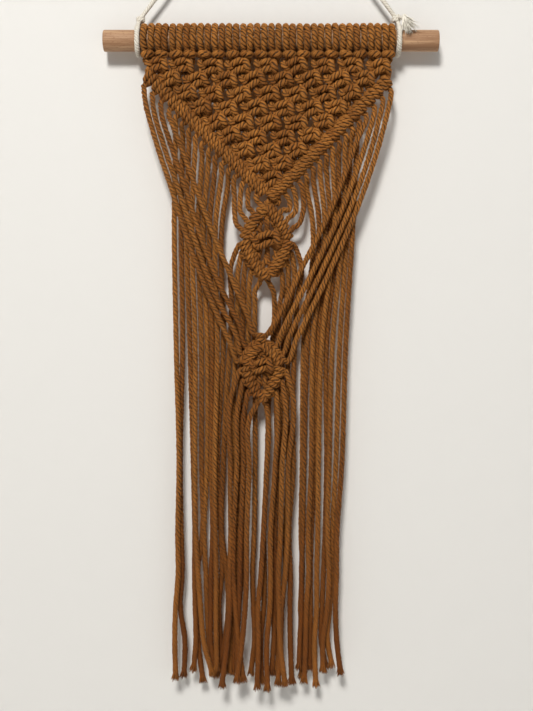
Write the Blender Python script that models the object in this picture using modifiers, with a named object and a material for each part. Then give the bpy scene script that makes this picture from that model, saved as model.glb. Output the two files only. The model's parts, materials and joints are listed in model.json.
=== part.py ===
"""Macrame wall hanging on a wooden dowel, hung from one nail by a thin pale cord.

The origin is the point where the hanger cord rests on its nail. +X runs to the right along
the dowel, -Y is the front and +Z is up. Tables are in millimetres from the dowel's centre.
"""

import math

import bmesh
import bpy
from mathutils import Vector

MM = 0.001

# Driving dimensions, in millimetres
DOWEL_LENGTH = 254.0
DOWEL_RADIUS = 8.0
CORD_RADIUS = 2.15  # brown cord
HANGER_RADIUS = 1.8  # pale cord
HANG_DROP = 140.0  # from the nail down to the dowel's axis
GAP = 0.3  # between neighbouring pieces
WELD = 0.001  # corners this close are one corner
SMOOTH_BELOW = 50  # degrees between faces that are shaded as one

# Heading: lark's head knots side by side on the dowel
HEADING_LEFT = -98.4
HEADING_RIGHT = 93.9
LARK_KNOTS = 18
KNOT_WAIST = 0.9  # how much lower the sleeve is between two knots
SLEEVE_SIDES = 12
BAR_Y = -6.0
BAR_Z = -11.5
BAR_RADIUS = 3.2
BAR_WAIST = 2.7
BAR_INSET = 0.4  # from the sleeve's ends

# Knotted panel: rows of square knots, one fewer in each row
TOP_ROW_KNOTS = 9
TOP_ROW_X = -3.0
TOP_ROW_Z = -21.4
KNOT_PITCH = 21.2
ROW_PITCH = 10.7
SLOT_HALF_WIDTH = 2.4
SLOT_HALF_HEIGHT = 4.4
PANEL_LEAN = -3.0 / 85.6  # sideways drift of the rows, down the panel
PANEL_BACK = 1.0
PANEL_EDGE = -7.0  # the front at a knot's sides
PANEL_CROWN = -9.2  # the front at its middle
CROWN_SHARE = 0.55  # of a knot's outline, for its raised middle

# Borders: the two ridges of the V
BORDER_Y = -4.0
BORDER_RADIUS = 5.0
BORDER_WAIST = 4.5
HITCHES = 17
BORDER_ENDS = {
    "left": ((-93.9, -25.5), (1.2, -120.6)),
    "right": ((88.6, -29.3), (3.0, -114.9)),
}
FIRST_HITCH = 5.3  # from the ridge's outer end to its first hitch
CROSSING_CORDS = 4
WIDE_PITCH = 8.85  # between the crossing cords' hitches
HITCH_PITCH = 7.1  # between the others

# Lanes: how far forward or back the hanging cords lie
CROSSING_Y = -8.8
LEAVING_Y = -7.2
LEAVING_DROP = 6.0

DIAMONDS = {
    "upper_diamond": {
        "centre": (-3.3, -152.3),
        "left": 16.2,
        "right": 16.1,
        "top": 22.8,
        "bottom": 26.2,
        "y": -4.0,
        "radius": 4.0,
        "knot": (13.6, 4.6, 12.5),
    },
    "lower_diamond": {
        "centre": (-6.9, -247.0),
        "left": 11.9,
        "right": 13.3,
        "top": 15.0,
        "bottom": 23.5,
        "y": -7.0,
        "radius": 3.8,
        "knot": (10.0, 4.3, 10.5),
    },
}
RIM_ROUNDNESS = 1.5  # 1 is an ellipse and 2 a straight-sided diamond
END_SHARE = 0.7  # of a cord's radius, kept between its end and the rim it meets
LOWER_TOP_KNOT = (-7.5, -225.9, 3.6)  # x, z and radius of the first knot above the rim

# Crossing cords: hitch, then x and z of each point down to the lower diamond's rim, and
# where on the rim they end, in degrees from its right corner
CROSSING = {
    "left": (
        {"hitch": 1, "way": ((-94.8, -46.0), (-88.6, -71.0), (-74.4, -115.0),
                             (-64.3, -147.0), (-47.4, -192.3), (-30.6, -229.8)), "rim": 168},
        {"hitch": 2, "way": ((-88.6, -52.0), (-81.0, -80.0), (-69.4, -115.0),
                             (-58.2, -149.4), (-40.9, -196.0), (-25.6, -225.3)), "rim": 150},
        {"hitch": 3, "way": ((-82.2, -58.0), (-76.2, -78.0), (-64.0, -115.0),
                             (-52.2, -151.7), (-38.2, -187.0), (-24.0, -215.7)), "rim": 130},
        {"hitch": 4, "way": ((-74.8, -64.0), (-67.4, -83.0), (-55.9, -115.0),
                             (-42.8, -149.4), (-30.6, -178.5), (-17.8, -208.6)), "rim": 112},
    ),
    "right": (
        {"hitch": 1, "way": ((88.6, -51.0), (79.8, -85.0), (69.8, -115.0),
                             (43.9, -176.2), (19.1, -226.8)), "rim": 12},
        {"hitch": 2, "way": ((82.0, -58.0), (75.0, -85.0), (64.8, -115.0),
                             (37.8, -176.2), (13.2, -225.8)), "rim": 32},
        {"hitch": 3, "way": ((75.8, -64.0), (69.2, -86.0), (59.3, -115.0),
                             (31.2, -176.2), (7.5, -222.8)), "rim": 52},
        {"hitch": 4, "way": ((68.4, -69.0), (61.0, -87.0), (51.1, -115.0),
                             (21.8, -176.2), (2.0, -217.0)), "rim": 72},
    ),
}

# Links: the cords from the point of the V into the upper diamond
LINKS = {
    "left": (
        {"hitch": 14, "way": ((-27.4, -118.7), (-26.9, -135.0)), "rim": 168},
        {"hitch": 15, "way": ((-22.6, -120.0), (-22.4, -132.0)), "rim": 148},
        {"hitch": 16, "way": ((-16.8, -121.0), (-16.6, -127.5)), "rim": 128},
        {"hitch": 17, "way": ((-10.0, -122.6),), "rim": 108},
    ),
    "right": (
        {"hitch": 14, "way": ((24.6, -122.4), (23.4, -141.0)), "rim": 9},
        {"hitch": 15, "way": ((18.8, -122.8), (18.4, -134.0)), "rim": 30},
        {"hitch": 16, "way": ((13.2, -124.4), (12.6, -129.0)), "rim": 50},
        {"hitch": 17, "way": ((6.6, -123.6),), "rim": 70},
    ),
}

# Fringes: x of each cord at these depths below the dowel's axis, then its tip and its lane
FRINGE_LEVELS = (-130.0, -230.0, -325.0, -378.0, -430.0)
FRINGE_COLUMNS = ("x_1", "x_2", "x_3", "x_4", "x_5", "tip_x", "tip_z", "lane")
FRINGE = {
    "left": (
        (-73.1, -71.7, -70.0, -69.5, -72.0, -71.5, -481.5, -3.6),
        (-68.3, -67.2, -68.5, -68.3, -67.3, -65.6, -481.0, 1.0),
        (-64.0, -61.5, -59.0, -58.0, -56.3, -57.6, -477.0, -3.2),
        (-59.7, -57.3, -56.7, -55.7, -53.0, -52.0, -485.0, 0.8),
        (-55.2, -53.0, -52.3, -51.5, -50.5, -50.0, -482.0, -3.2),
        (-51.0, -48.6, -48.3, -48.0, -47.0, -46.5, -484.0, 1.0),
        (-46.0, -44.5, -43.2, -44.3, -43.5, -43.5, -486.0, -3.2),
        (-41.0, -40.5, -40.9, -41.2, -41.3, -41.5, -487.5, 1.2),
        (-36.2, -36.3, -37.2, -38.0, -38.8, -38.4, -484.5, -2.6),
    ),
    "right": (
        (62.6, 56.6, 53.3, 50.5, 48.8, 52.8, -479.0, -3.0),
        (58.8, 52.3, 48.2, 45.8, 43.6, 45.4, -474.0, 0.8),
        (55.2, 46.6, 43.0, 40.8, 39.0, 39.6, -477.5, -3.0),
        (51.8, 41.6, 36.3, 35.3, 35.2, 35.0, -486.5, 1.0),
        (48.4, 38.5, 33.3, 32.5, 32.0, 32.0, -487.5, -3.2),
        (44.8, 35.5, 31.0, 30.0, 29.8, 29.5, -483.0, 1.2),
        (40.4, 31.7, 28.2, 27.2, 27.0, 26.5, -485.0, -3.0),
        (35.8, 28.5, 25.2, 24.5, 24.2, 23.6, -484.5, 1.2),
        (30.8, 25.9, 23.5, 22.9, 22.4, 20.7, -476.0, -3.2),
    ),
}
FIRST_FRINGE_HITCH = CROSSING_CORDS + 1
CURVED_STRETCHES = 2  # of each cord, below its hitch
TURN_DROP = 9.0  # where a cord has turned down below its hitch
TURN_SHARE = 0.2  # how far it has moved sideways by then

# Middle fringes leave the upper diamond's lower rim and pass behind the lower diamond.
# Front fringes leave the lower diamond. Each row gives the place on the rim in degrees,
# the knee where the cord turns down, x at the levels, the tip and the lane.
MIDDLE_LEVELS = (-200.0, -230.0, -325.0, -378.0, -430.0)
MIDDLE_COLUMNS = ("rim", "knee_x", "knee_z", "x_1", "x_2", "x_3", "x_4", "x_5",
                  "tip_x", "tip_z", "lane")
MIDDLE = {
    "left": (
        (189, -29.4, -166.0, -30.0, -31.2, -33.2, -34.2, -34.5, -36.5, -485.5, 2.6),
        (204, -24.8, -173.5, -25.4, -26.6, -28.6, -29.8, -30.0, -32.2, -484.5, 0.6),
        (219, -20.6, -179.5, -21.0, -22.0, -24.3, -25.5, -21.8, -19.5, -481.5, 2.8),
        (235, -16.4, -184.5, -16.8, -17.4, -18.8, -17.5, -16.4, -15.3, -480.5, 0.6),
        (252, -12.0, -188.5, -12.2, -12.6, -11.9, -11.2, -10.4, -10.4, -489.0, 2.4),
    ),
    "right": (
        (351, 22.2, -165.5, 19.6, 18.0, 17.9, 15.6, 16.2, 17.0, -485.0, 2.8),
        (336, 17.8, -172.5, 15.2, 13.6, 13.1, 11.2, 11.6, 12.2, -486.0, 0.6),
        (321, 13.4, -179.0, 11.2, 9.6, 8.8, 6.8, 6.5, 6.5, -486.6, 2.8),
        (304, 9.0, -184.5, 6.8, 5.2, 4.4, 2.0, 1.2, 0.6, -489.0, 0.6),
        (284, 3.4, -190.0, 2.7, 1.0, -0.4, -2.6, -3.6, -4.3, -490.0, 2.8),
    ),
}
FRONT_LEVELS = (-325.0, -378.0, -430.0)
FRONT_COLUMNS = ("rim", "knee_x", "knee_z", "x_1", "x_2", "x_3", "tip_x", "tip_z", "lane")
FRONT = {
    "left": (
        (192, -27.8, -261.0, -30.8, -32.3, -33.6, -35.4, -487.0, -7.0),
        (212, -23.6, -269.0, -25.6, -27.8, -29.4, -30.4, -485.0, -8.4),
        (233, -19.2, -276.0, -20.6, -22.8, -25.2, -20.7, -484.0, -5.8),
        (253, -14.6, -281.0, -16.0, -17.3, -19.0, -26.0, -483.0, -10.2),
    ),
    "right": (
        (348, 14.4, -260.0, 16.5, 13.4, 14.3, 15.5, -486.0, -6.8),
        (328, 10.0, -268.5, 12.0, 9.0, 6.8, 10.3, -486.0, -6.0),
        (308, 4.6, -275.5, 2.8, 2.9, 1.7, 1.7, -486.0, -6.8),
        (288, -1.6, -281.0, -4.0, -6.2, -6.4, -7.6, -489.5, -6.0),
    ),
}
KNEE_SHARE = 0.5  # how far a cord has moved to its lane at the knee

# Hanger: ties round the dowel at each end of the heading, and one cord between them
TIES = {
    "left": {"x": -100.7, "knot": (-98.9, 16.4)},
    "right": {"x": 96.5, "knot": (94.9, 16.4)},
}
TIE_KNOT = (3.0, 2.9, 2.9)
TIE_RADIUS = 1.7
TIE_LOOP = 10.4  # radius of the loop round the dowel
TIE_OPENING = 60  # degrees each side of the top, where the loop rises to its knot
TIE_NECK = (2.4, 13.4)  # y and z of its two strands there
NECK_SHARE = 0.3  # how far they have moved sideways to the knot
FOOT_RISE = 4.2  # from a tie knot's centre to the hanger cord's end
NAIL_BEND = 8.0  # radius of the hanger cord's centre line over the nail
LEG_STEPS = 12
BEND_STEPS = 8
TAIL = ((98.4, -4.4, 15.4), (101.0, -8.4, 11.5), (104.5, -10.6, 6.5), (107.5, -10.8, 1.0))
TAIL_RADIUS = 1.3

COLOURS = {
    "dowel": ((0.61, 0.38, 0.23, 1.0), 0.55),
    "cord": ((0.22, 0.082, 0.016, 1.0), 0.9),
    "hanger": ((0.72, 0.66, 0.56, 1.0), 0.9),
}


def clear_scene():
    for old in list(bpy.data.objects):
        bpy.data.objects.remove(old, do_unlink=True)


def make_collection(name):
    collection = bpy.data.collections.new(name)
    bpy.context.scene.collection.children.link(collection)
    return collection


def make_material(name, kind):
    colour, roughness = COLOURS[kind]
    material = bpy.data.materials.new(name)
    material.use_nodes = True
    shader = material.node_tree.nodes["Principled BSDF"]
    shader.inputs["Base Color"].default_value = colour
    shader.inputs["Roughness"].default_value = roughness
    shader.inputs["Metallic"].default_value = 0.0
    return material


def place(x, y, z):
    """A point of the tables in the object's own frame, in metres."""
    return Vector((x, y, z - HANG_DROP)) * MM


def finish_piece(piece, kind):
    """Names the piece's material after it and puts it among the parts."""
    piece.data.materials.clear()
    piece.data.materials.append(make_material(piece.name, kind))
    for collection in list(piece.users_collection):
        collection.objects.unlink(piece)
    PARTS.objects.link(piece)
    piece.data.shade_smooth()
    piece.data.set_sharp_from_angle(angle=math.radians(SMOOTH_BELOW))
    return piece


def make_guide(piece):
    """A shape that is only joined to another one."""
    for collection in list(piece.users_collection):
        collection.objects.unlink(piece)
    GUIDES.objects.link(piece)
    piece.hide_render = True
    piece.display_type = "WIRE"
    return piece


def smooth_way(points, steps, curved_stretches):
    """One smooth curve through the points, with more steps in its first stretches."""
    lengths = [(b - a).length for a, b in zip(points, points[1:])]
    slopes = [(b - a) / size for a, b, size in zip(points, points[1:], lengths)]
    tangents = [slopes[0]]
    for i in range(1, len(slopes)):
        before, after = lengths[i - 1], lengths[i]
        tangents.append((slopes[i - 1] * after + slopes[i] * before) / (before + after))
    tangents.append(slopes[-1])
    way = []
    for i, size in enumerate(lengths):
        count = steps if i < curved_stretches else 1
        for k in range(count):
            t = k / count
            way.append(
                points[i] * (2 * t**3 - 3 * t**2 + 1)
                + tangents[i] * size * (t**3 - 2 * t**2 + t)
                + points[i + 1] * (3 * t**2 - 2 * t**3)
                + tangents[i + 1] * size * (t**3 - t**2)
            )
    way.append(points[-1])
    return way


def tube_object(name, ways, radii, resolution, cyclic=False):
    """A closed mesh of round tubes along the ways, with welded caps."""
    curve = bpy.data.curves.new(name, "CURVE")
    curve.dimensions = "3D"
    curve.bevel_depth = 1.0
    curve.bevel_resolution = resolution
    curve.use_fill_caps = not cyclic
    for way, sizes in zip(ways, radii):
        spline = curve.splines.new("POLY")
        spline.points.add(len(way) - 1)
        spline.use_cyclic_u = cyclic
        for point, place_at, size in zip(spline.points, way, sizes):
            point.co = (*place_at, 1.0)
            point.radius = size * MM
    drawn = bpy.data.objects.new(name + "_curve", curve)
    bpy.context.scene.collection.objects.link(drawn)
    graph = bpy.context.evaluated_depsgraph_get()
    mesh = bpy.data.meshes.new_from_object(drawn.evaluated_get(graph))
    bpy.data.objects.remove(drawn, do_unlink=True)
    weld = bmesh.new()
    weld.from_mesh(mesh)
    bmesh.ops.remove_doubles(weld, verts=weld.verts, dist=WELD * MM)
    bmesh.ops.recalc_face_normals(weld, faces=weld.faces)
    weld.to_mesh(mesh)
    weld.free()
    tube = bpy.data.objects.new(name, mesh)
    bpy.context.scene.collection.objects.link(tube)
    return tube


def join_shapes(piece, guide, own_crossings=False):
    """Makes the piece and the guide one body."""
    union = piece.modifiers.new("join_" + guide.name, "BOOLEAN")
    union.operation = "UNION"
    union.solver = "EXACT"
    union.use_self = own_crossings
    union.object = make_guide(guide)


def ball_object(name, centre, sizes, rings):
    """A rounded knot body of the given half sizes."""
    mesh = bpy.data.meshes.new(name)
    shape = bmesh.new()
    bmesh.ops.create_uvsphere(shape, u_segments=2 * rings, v_segments=rings, radius=1.0)
    bmesh.ops.scale(shape, vec=Vector(sizes) * MM, verts=shape.verts)
    bmesh.ops.translate(shape, vec=centre, verts=shape.verts)
    shape.to_mesh(mesh)
    shape.free()
    ball = bpy.data.objects.new(name, mesh)
    bpy.context.scene.collection.objects.link(ball)
    return ball


def build_dowel():
    bpy.ops.mesh.primitive_cylinder_add(
        vertices=24, radius=DOWEL_RADIUS * MM, depth=DOWEL_LENGTH * MM
    )
    dowel = bpy.context.active_object
    dowel.name = "dowel"
    dowel.location = place(0, 0, 0)
    dowel.rotation_euler = (0, math.pi / 2, 0)
    edge = dowel.modifiers.new("edge", "BEVEL")
    edge.width = 0.6 * MM
    edge.segments = 2
    edge.limit_method = "ANGLE"
    finish_piece(dowel, "dowel")


def build_heading():
    """A sleeve that swells at each knot, with the knots' bars along its front."""
    pitch = (HEADING_RIGHT - HEADING_LEFT) / LARK_KNOTS
    bore = (DOWEL_RADIUS + GAP) / math.cos(math.pi / SLEEVE_SIDES)
    crest = DOWEL_RADIUS + 2 * CORD_RADIUS
    outline = [(HEADING_RIGHT, bore), (HEADING_LEFT, bore)]
    for half in range(2 * LARK_KNOTS + 1):
        radius = crest if half % 2 else crest - KNOT_WAIST
        outline.append((HEADING_LEFT + half * pitch / 2, radius))
    mesh = bpy.data.meshes.new("heading")
    shape = bmesh.new()
    verts = [shape.verts.new((x * MM, 0, radius * MM)) for x, radius in outline]
    for first, second in zip(verts, verts[1:] + verts[:1]):
        shape.edges.new((first, second))
    shape.to_mesh(mesh)
    shape.free()
    heading = bpy.data.objects.new("heading", mesh)
    bpy.context.scene.collection.objects.link(heading)
    heading.location = place(0, 0, 0)
    turned = heading.modifiers.new("turned", "SCREW")
    turned.axis = "X"
    turned.steps = SLEEVE_SIDES
    turned.render_steps = SLEEVE_SIDES
    turned.use_merge_vertices = True
    turned.merge_threshold = WELD * MM
    turned.use_normal_calculate = True
    bars = []
    sizes = []
    for half in range(2 * LARK_KNOTS + 1):
        at = HEADING_LEFT + half * pitch / 2
        at = min(max(at, HEADING_LEFT + BAR_INSET), HEADING_RIGHT - BAR_INSET)
        bars.append(place(at, BAR_Y, BAR_Z))
        sizes.append(BAR_RADIUS if half % 2 else BAR_WAIST)
    join_shapes(heading, tube_object("heading_bars", [bars], [sizes], 1))
    finish_piece(heading, "cord")


def lean(x, z):
    """Carries a point of the upright lattice into the panel's slight lean."""
    return (x + PANEL_LEAN * (z - TOP_ROW_Z), z)


def cut_side(side):
    """A point on the line along the border where the panel stops, and its inward normal."""
    (x0, z0), (x1, z1) = BORDER_ENDS[side]
    along = Vector((x1 - x0, z1 - z0)).normalized()
    inward = Vector((-along.y, along.x)) * (1 if side == "left" else -1)
    return Vector((x0, z0)) + inward * (BORDER_RADIUS + GAP), inward


def clipped(outline, point, inward):
    """The part of a convex outline on the inner side of a line."""
    kept = []
    for a, b in zip(outline, outline[1:] + outline[:1]):
        reach_a, reach_b = (a - point).dot(inward), (b - point).dot(inward)
        if reach_a >= 0:
            kept.append(a)
        if reach_a * reach_b < 0:
            kept.append(a + (b - a) * (reach_a / (reach_a - reach_b)))
    return kept


def knot_centres():
    for row in range(TOP_ROW_KNOTS):
        count = TOP_ROW_KNOTS - row
        for column in range(count):
            x = TOP_ROW_X + (column - (count - 1) / 2) * KNOT_PITCH
            yield x, TOP_ROW_Z - row * ROW_PITCH


def knot_outline(x, z):
    """One knot's eight corners, which it shares with its neighbours, cut at the borders."""
    side = KNOT_PITCH / 2 - SLOT_HALF_WIDTH
    top = ROW_PITCH - SLOT_HALF_HEIGHT
    quarter = ((side, SLOT_HALF_HEIGHT), (SLOT_HALF_WIDTH, top))
    corners = []
    for sign_x, sign_z in ((1, 1), (-1, 1), (-1, -1), (1, -1)):
        pair = quarter if sign_x * sign_z > 0 else quarter[::-1]
        corners += [(x + sign_x * dx, z + sign_z * dz) for dx, dz in pair]
    outline = [Vector(lean(*corner)) for corner in corners]
    for name in ("left", "right"):
        outline = clipped(outline, *cut_side(name))
    return outline


def build_panel():
    """A lattice of crowned knots that share their slanted sides, open at the slots."""
    shape = bmesh.new()
    corners = {}

    def corner_pair(point):
        """The front and back corners at a point, shared by the knots that meet there."""
        key = (round(point.x, 3), round(point.y, 3))
        if key not in corners:
            corners[key] = [
                shape.verts.new(place(point.x, y, point.y)) for y in (PANEL_EDGE, PANEL_BACK)
            ]
        return corners[key]

    owners = {}
    for x, z in knot_centres():
        outline = knot_outline(x, z)
        middle = sum(outline, Vector((0, 0))) / len(outline)
        crown = []
        for point in outline:
            inner = middle + (point - middle) * CROWN_SHARE
            crown.append(shape.verts.new(place(inner.x, PANEL_CROWN, inner.y)))
        shape.faces.new(crown)
        pairs = [corner_pair(point) for point in outline]
        shape.faces.new([back for front, back in pairs])
        for i, (front, back) in enumerate(pairs):
            next_front, next_back = pairs[(i + 1) % len(pairs)]
            next_crown = crown[(i + 1) % len(pairs)]
            shape.faces.new((front, next_front, next_crown, crown[i]))
            side = frozenset((front, next_front))
            owners.setdefault(side, []).append((front, next_front, next_back, back))
    for walls in owners.values():
        if len(walls) == 1:
            shape.faces.new(walls[0])
    bmesh.ops.recalc_face_normals(shape, faces=shape.faces)
    mesh = bpy.data.meshes.new("knotted_panel")
    shape.to_mesh(mesh)
    shape.free()
    panel = bpy.data.objects.new("knotted_panel", mesh)
    bpy.context.scene.collection.objects.link(panel)
    finish_piece(panel, "cord")


def build_border(side):
    """A ridge with a swelling for each hitch."""
    start, end = (place(x, BORDER_Y, z) for x, z in BORDER_ENDS[side])
    way = []
    sizes = []
    for half in range(2 * HITCHES + 1):
        way.append(start.lerp(end, half / (2 * HITCHES)))
        sizes.append(BORDER_RADIUS if half % 2 else BORDER_WAIST)
    finish_piece(tube_object("border_" + side, [way], [sizes], 2), "cord")


def hitch_exit(side, hitch):
    """Where a hitch lets its cord go, below the ridge."""
    (x0, z0), (x1, z1) = BORDER_ENDS[side]
    along = Vector((x1 - x0, z1 - z0)).normalized()
    outward = Vector((along.y, -along.x)) * (1 if side == "left" else -1)
    wide = min(hitch, CROSSING_CORDS) - 1
    reach = FIRST_HITCH + wide * WIDE_PITCH + (hitch - 1 - wide) * HITCH_PITCH
    spot = Vector((x0, z0)) + along * reach + outward * (BORDER_RADIUS + GAP + CORD_RADIUS)
    return spot.x, BORDER_Y, spot.y


def rim_spot(diamond, degrees, offset=0.0):
    """x and z on a diamond's rim, moved outward by offset."""
    facts = DIAMONDS[diamond]

    def on_rim(angle):
        c, s = math.cos(angle), math.sin(angle)
        width = facts["right"] if c > 0 else facts["left"]
        height = facts["top"] if s > 0 else facts["bottom"]
        x = facts["centre"][0] + math.copysign(width * abs(c) ** RIM_ROUNDNESS, c)
        z = facts["centre"][1] + math.copysign(height * abs(s) ** RIM_ROUNDNESS, s)
        return Vector((x, z))

    angle = math.radians(degrees)
    along = (on_rim(angle + 0.02) - on_rim(angle - 0.02)).normalized()
    spot = on_rim(angle) + Vector((along.y, -along.x)) * offset
    return spot.x, spot.y


def rim_end(diamond, degrees, clearance):
    """Where a cord meets the rim from outside."""
    facts = DIAMONDS[diamond]
    x, z = rim_spot(diamond, degrees, facts["radius"] + GAP + clearance)
    return x, facts["y"], z


def make_comb(name, starts, ways):
    """Cords that hang from one spine, all one body."""
    ways = [smooth_way(way, 2, CURVED_STRETCHES) for way in ways]
    comb = tube_object(name, [starts], [[CORD_RADIUS] * len(starts)], 1)
    teeth = tube_object(name + "_cords", ways, [[CORD_RADIUS] * len(way) for way in ways], 1)
    join_shapes(comb, teeth, own_crossings=True)
    finish_piece(comb, "cord")


def build_held_cords(name, side, rows, diamond, lane, leaving):
    """Cords from the border's hitches to a diamond's rim."""
    starts = []
    ways = []
    for row in rows:
        x, y, z = hitch_exit(side, row["hitch"])
        end = rim_end(diamond, row["rim"], CORD_RADIUS * END_SHARE)
        points = [(x, y, z)]
        if leaving:
            points.append((x, LEAVING_Y, z - LEAVING_DROP))
        points += [(px, lane, pz) for px, pz in row["way"]]
        points.append(end)
        starts.append(place(x, y, z))
        ways.append([place(*point) for point in points])
    make_comb(name, starts, ways)


def build_fringe(side):
    starts = []
    ways = []
    for i, numbers in enumerate(FRINGE[side]):
        row = dict(zip(FRINGE_COLUMNS, numbers))
        x, y, z = hitch_exit(side, FIRST_FRINGE_HITCH + i)
        points = [(x, y, z)]
        levels = zip(("x_1", "x_2", "x_3", "x_4", "x_5"), FRINGE_LEVELS)
        points += [(row[column], row["lane"], level) for column, level in levels]
        turn_x = x * (1 - TURN_SHARE) + row["x_1"] * TURN_SHARE
        turn_y = y * TURN_SHARE + row["lane"] * (1 - TURN_SHARE)
        points.insert(1, (turn_x, turn_y, z - TURN_DROP))
        points.append((row["tip_x"], row["lane"], row["tip_z"]))
        starts.append(place(x, y, z))
        ways.append([place(*point) for point in points])
    make_comb("fringe_" + side, starts, ways)


def build_rim_fringe(name, diamond, rows, columns, levels):
    """Cords that leave a diamond's lower rim and hang to their tips."""
    starts = []
    ways = []
    for numbers in rows:
        row = dict(zip(columns, numbers))
        start = rim_end(diamond, row["rim"], CORD_RADIUS)
        knee_y = start[1] * (1 - KNEE_SHARE) + row["lane"] * KNEE_SHARE
        points = [start, (row["knee_x"], knee_y, row["knee_z"])]
        for i, level in enumerate(levels):
            points.append((row[f"x_{i + 1}"], row["lane"], level))
        points.append((row["tip_x"], row["lane"], row["tip_z"]))
        starts.append(place(*start))
        ways.append([place(*point) for point in points])
    make_comb(name, starts, ways)


def build_diamond(name):
    """A rounded rim with its square knot across the middle."""
    facts = DIAMONDS[name]
    way = []
    for degrees in range(0, 360, 20):
        x, z = rim_spot(name, degrees + 0.5)
        way.append(place(x, facts["y"], z))
    rim = tube_object(name, [way], [[facts["radius"]] * len(way)], 2, cyclic=True)
    centre = place(facts["centre"][0], facts["y"], facts["centre"][1])
    join_shapes(rim, ball_object(name + "_knot", centre, facts["knot"], 5))
    if name == "lower_diamond":
        x, z, radius = LOWER_TOP_KNOT
        top = ball_object(name + "_top", place(x, facts["y"], z), (radius,) * 3, 4)
        join_shapes(rim, top)
    finish_piece(rim, "cord")


def build_tie(side):
    """A loop round the dowel that rises to its knot."""
    facts = TIES[side]
    knot_x, knot_z = facts["knot"]
    way = []
    for degrees in range(-180 - TIE_OPENING, TIE_OPENING + 1, 30):
        angle = math.radians(degrees)
        way.append(place(facts["x"], TIE_LOOP * math.cos(angle), TIE_LOOP * math.sin(angle)))
    neck_x = facts["x"] * (1 - NECK_SHARE) + knot_x * NECK_SHARE
    neck_y, neck_z = TIE_NECK
    way.append(place(neck_x, neck_y, neck_z))
    way.append(place(knot_x, 0.0, knot_z))
    way.append(place(neck_x, -neck_y, neck_z))
    tie = tube_object("hanger_tie_" + side, [way], [[TIE_RADIUS] * len(way)], 2, cyclic=True)
    ball = ball_object("tie_knot_" + side, place(knot_x, 0, knot_z), TIE_KNOT, 4)
    join_shapes(tie, ball)
    finish_piece(tie, "hanger")


def build_tail():
    """The right tie's free end, hanging in front of the dowel."""
    way = smooth_way([place(*point) for point in TAIL], 2, len(TAIL))
    sizes = [TAIL_RADIUS] * len(way)
    finish_piece(tube_object("hanger_tail", [way], [sizes], 2), "hanger")


def build_hanger_cord():
    """One cord from tie to tie, taut over the nail at the origin."""
    nail = Vector((0.0, HANG_DROP - NAIL_BEND + HANGER_RADIUS))
    legs = []
    angles = []
    for side, turn in (("left", -1), ("right", 1)):
        knot_x, knot_z = TIES[side]["knot"]
        foot = Vector((knot_x, knot_z + FOOT_RISE))
        reach = foot - nail
        angle = math.atan2(reach.y, reach.x) + turn * math.acos(NAIL_BEND / reach.length)
        touch = nail + Vector((math.cos(angle), math.sin(angle))) * NAIL_BEND
        legs.append([foot.lerp(touch, k / LEG_STEPS) for k in range(LEG_STEPS)])
        angles.append(angle % (2 * math.pi))
    bend = []
    for k in range(BEND_STEPS + 1):
        angle = angles[0] + (angles[1] - angles[0]) * k / BEND_STEPS
        bend.append(nail + Vector((math.cos(angle), math.sin(angle))) * NAIL_BEND)
    way = [place(point.x, 0, point.y) for point in legs[0] + bend + legs[1][::-1]]
    cord = tube_object("hanger_cord", [way], [[HANGER_RADIUS] * len(way)], 2)
    finish_piece(cord, "hanger")


clear_scene()
PARTS = make_collection("macrame_wall_hanging")
GUIDES = make_collection("guides")
build_dowel()
build_heading()
build_panel()
build_diamond("upper_diamond")
build_diamond("lower_diamond")
build_tail()
build_hanger_cord()
for name_of_side in ("left", "right"):
    build_border(name_of_side)
    build_held_cords("crossing_" + name_of_side, name_of_side, CROSSING[name_of_side],
                     "lower_diamond", CROSSING_Y, True)
    build_held_cords("links_" + name_of_side, name_of_side, LINKS[name_of_side],
                     "upper_diamond", BORDER_Y, False)
    build_fringe(name_of_side)
    build_rim_fringe("middle_fringe_" + name_of_side, "upper_diamond",
                     MIDDLE[name_of_side], MIDDLE_COLUMNS, MIDDLE_LEVELS)
    build_rim_fringe("front_fringe_" + name_of_side, "lower_diamond",
                     FRONT[name_of_side], FRONT_COLUMNS, FRONT_LEVELS)
    build_tie(name_of_side)
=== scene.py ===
import json
import math
import random
from functools import partial

import bpy
import numpy as np
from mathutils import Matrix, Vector

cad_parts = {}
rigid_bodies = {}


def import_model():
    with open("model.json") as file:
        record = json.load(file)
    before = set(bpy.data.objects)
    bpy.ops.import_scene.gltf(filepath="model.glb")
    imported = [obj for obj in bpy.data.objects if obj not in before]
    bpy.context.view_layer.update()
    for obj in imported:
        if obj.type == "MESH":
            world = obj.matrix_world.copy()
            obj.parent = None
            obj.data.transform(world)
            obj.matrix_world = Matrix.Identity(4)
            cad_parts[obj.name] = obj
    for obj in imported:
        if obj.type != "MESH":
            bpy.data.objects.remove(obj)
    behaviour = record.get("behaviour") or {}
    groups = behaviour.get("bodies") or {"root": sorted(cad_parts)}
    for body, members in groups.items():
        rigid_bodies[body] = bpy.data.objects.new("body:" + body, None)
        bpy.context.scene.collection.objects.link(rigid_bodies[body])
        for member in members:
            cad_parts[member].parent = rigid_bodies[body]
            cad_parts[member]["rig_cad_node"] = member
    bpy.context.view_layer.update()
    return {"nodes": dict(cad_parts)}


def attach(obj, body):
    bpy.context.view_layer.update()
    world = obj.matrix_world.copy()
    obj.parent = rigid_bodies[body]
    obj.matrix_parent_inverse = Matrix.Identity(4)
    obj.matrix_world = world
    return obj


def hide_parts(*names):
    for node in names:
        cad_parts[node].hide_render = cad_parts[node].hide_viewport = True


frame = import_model()
print("frame loaded:", len(frame["nodes"]), "nodes")

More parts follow.
